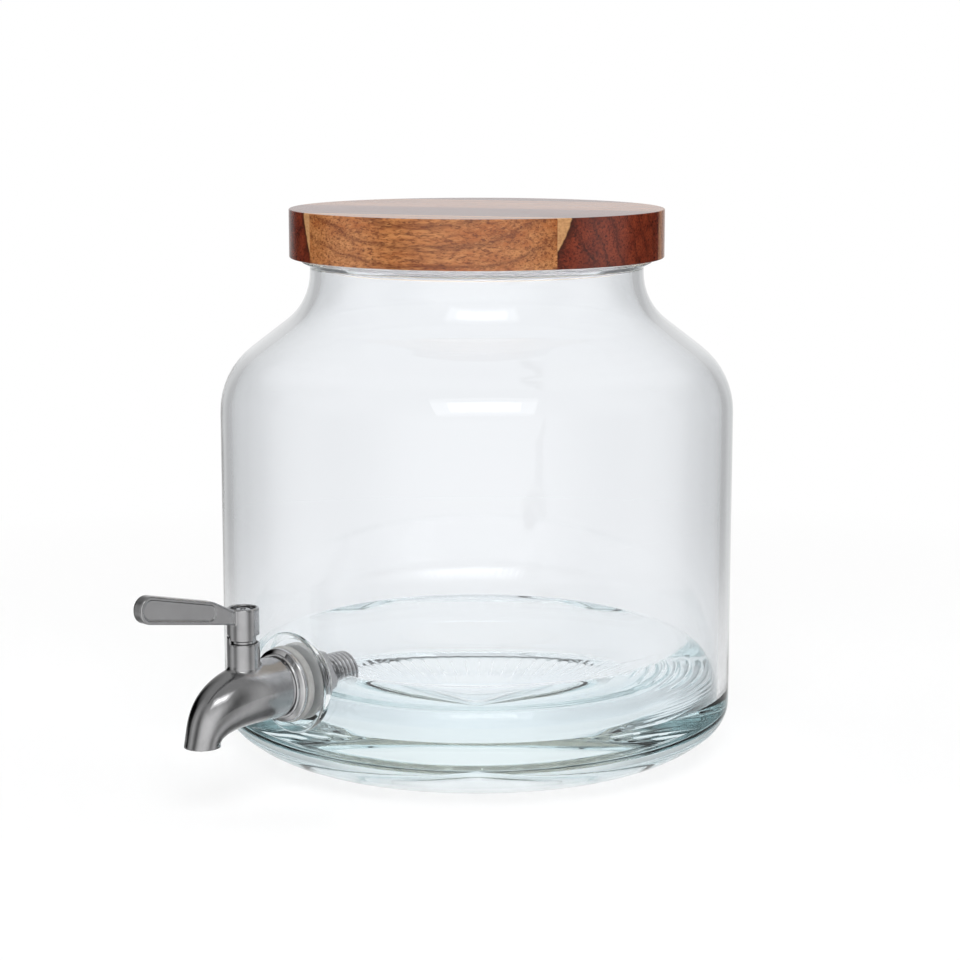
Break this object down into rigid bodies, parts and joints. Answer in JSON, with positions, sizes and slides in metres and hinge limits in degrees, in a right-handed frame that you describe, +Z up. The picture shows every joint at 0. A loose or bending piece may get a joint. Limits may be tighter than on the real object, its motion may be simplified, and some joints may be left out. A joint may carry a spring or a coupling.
{
  "type": "glass dispenser jar with tap",
  "caption": "Round wide-mouth glass dispenser jar with a turned wooden lift-off lid and a stainless steel quarter-turn lever tap near its base, for pouring out liquid detergent or drinks.",
  "frame": {"origin": "on the jar's axis, on the plane that the jar stands on", "axes": "+Z up along the jar's axis; the tap points along -Y, so +X is to the right of someone who faces the tap"},
  "size_m": [0.212, 0.2886, 0.225],
  "materials": {
    "clear_glass": "clear blown soda glass, faint blue-green where it is thick",
    "acacia_light": "oiled acacia, orange-brown with arched grain",
    "acacia_dark": "oiled acacia heartwood, red-brown with a pale sapwood edge",
    "lid_silicone": "pale grey food silicone",
    "brushed_steel": "satin stainless steel with polished edges",
    "polished_steel": "polished stainless steel",
    "grey_silicone": "matt mid-grey silicone",
    "spring_steel": "plain spring steel",
    "black_rubber": "black nitrile rubber"
  },
  "bodies": {
    "jar": {"glass_jar": "clear_glass", "tap_body": "brushed_steel", "tap_shank": "polished_steel", "outer_washer": "grey_silicone", "inner_washer": "grey_silicone", "lock_nut": "brushed_steel", "retaining_ring": "spring_steel"},
    "lever": {"lever_handle": "brushed_steel", "lever_screw": "polished_steel", "valve_plug": "brushed_steel", "upper_o_ring": "black_rubber", "lower_o_ring": "black_rubber"},
    "lid": {"lid_front_stave": "acacia_light", "lid_mid_front_stave": "acacia_dark", "lid_mid_back_stave": "acacia_light", "lid_back_stave": "acacia_dark", "lid_gasket": "lid_silicone"}
  },
  "joints": [
    {"name": "lever_turn", "type": "hinge", "parent": "jar", "child": "lever", "pos_m": [0, -0.131, 0.065], "axis": [0, 0, 1], "range_deg": [0, 90]},
    {"name": "lid_lift", "type": "slide", "parent": "jar", "child": "lid", "axis": [0, 0, 1], "range_m": [0, 0.06]}
  ]
}
